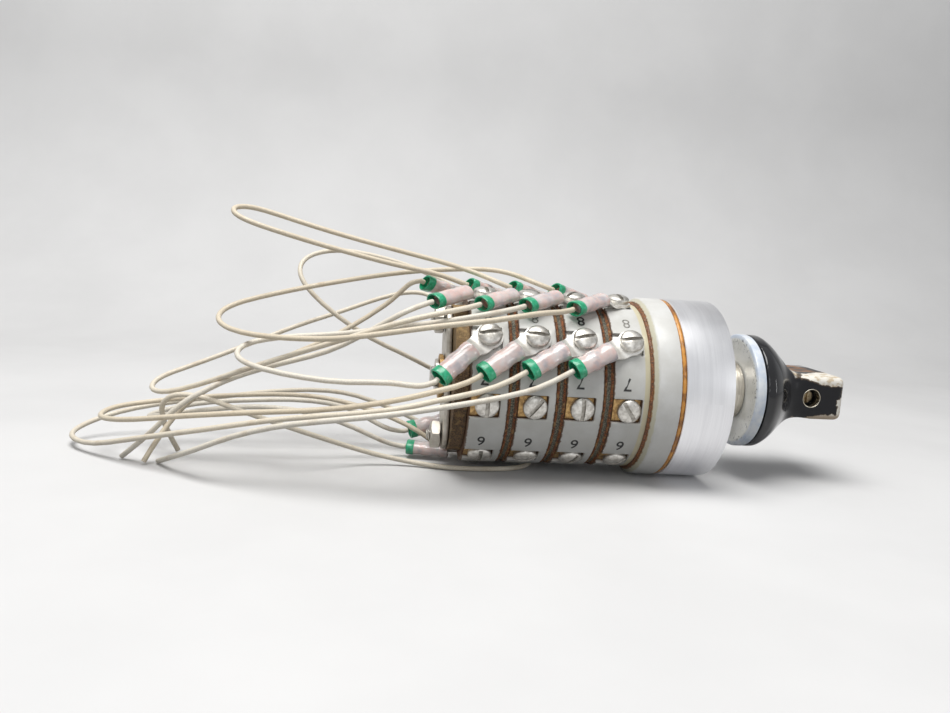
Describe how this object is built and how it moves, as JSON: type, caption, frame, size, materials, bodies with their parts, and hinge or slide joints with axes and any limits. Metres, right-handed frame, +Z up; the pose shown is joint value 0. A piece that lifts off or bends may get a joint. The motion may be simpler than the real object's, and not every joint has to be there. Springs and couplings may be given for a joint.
{
  "type": "rotary switch",
  "caption": "Multi-deck rotary selector switch on its side, with screw terminals, crimped hook-up wires, a tie-bolted deck stack, a turned front housing and a flared bar knob on a disc skirt.",
  "frame": {"origin": "middle of the switch's footprint without its wires, on the surface that it lies on", "axes": "+X along the shaft towards the knob, +Z up, -Y towards the near side in the picture"},
  "size_m": [0.1911, 0.0627, 0.0609],
  "materials": {
    "deck_moulding": "smooth pale grey moulding, slightly yellowed",
    "spacer_laminate": "dull brown phenolic laminate",
    "plated_steel": "dull nickel plate",
    "brass": "machined, lightly dulled",
    "collar_paint": "satin white paint",
    "seal_rubber": "aged orange-brown rubber",
    "turned_aluminium": "fine turned",
    "black_paint": "semi-matte black, worn at the edges",
    "skirt_plastic": "smooth frosted clear plastic",
    "index_fill": "aged paint fill",
    "rotor_plastic": "dark moulding",
    "wire_coat": "cream braided insulation",
    "lug_sleeve": "milky pink crimped sleeve",
    "lug_band": "bright green band at the wire's end of a lug",
    "digit_ink": "black terminal numbers, worn in places"
  },
  "bodies": {
    "body": {"deck_1": "deck_moulding", "deck_2": "deck_moulding", "deck_3": "deck_moulding", "deck_4": "deck_moulding", "deck_spacer_1": "spacer_laminate", "deck_spacer_2": "spacer_laminate", "deck_spacer_3": "spacer_laminate", "rear_spacer": "spacer_laminate", "rear_plate": "plated_steel", "rear_bush": "brass", "tie_rod_1": "plated_steel", "tie_rod_2": "plated_steel", "tie_nut_1": "plated_steel", "tie_nut_2": "plated_steel", "collar": "collar_paint", "seal_ring": "seal_rubber", "front_housing": "turned_aluminium", "bushing": "brass", "detent_ball_1": "plated_steel", "detent_ball_2": "plated_steel", "detent_spring_1": "plated_steel", "detent_spring_2": "plated_steel", "stop_pin": "plated_steel", "wire_1": "wire_coat", "wire_2": "wire_coat", "wire_3": "wire_coat", "wire_4": "wire_coat", "wire_5": "wire_coat", "wire_6": "wire_coat", "wire_7": "wire_coat", "wire_8": "wire_coat", "wire_9": "wire_coat", "wire_10": "wire_coat", "wire_11": "wire_coat", "wire_12": "wire_coat"},
    "selector": {"shaft": "plated_steel", "rotor_1": "rotor_plastic", "rotor_2": "rotor_plastic", "rotor_3": "rotor_plastic", "rotor_4": "rotor_plastic", "wiper_1": "brass", "wiper_2": "brass", "wiper_3": "brass", "wiper_4": "brass", "shaft_sleeve_1": "brass", "shaft_sleeve_2": "brass", "shaft_sleeve_3": "brass", "detent_wheel": "plated_steel", "stop_arm": "plated_steel", "retaining_clip": "plated_steel", "knob_insert": "brass", "knob_skirt": "skirt_plastic", "knob_body": "black_paint", "knob_grub_screw": "plated_steel", "knob_index": "index_fill"}
  },
  "joints": [
    {"name": "selector_turn", "type": "hinge", "parent": "body", "child": "selector", "pos_m": [0, 0.0012, 0.02213], "axis": [1, 0, 0], "range_deg": [-135, 180]}
  ]
}
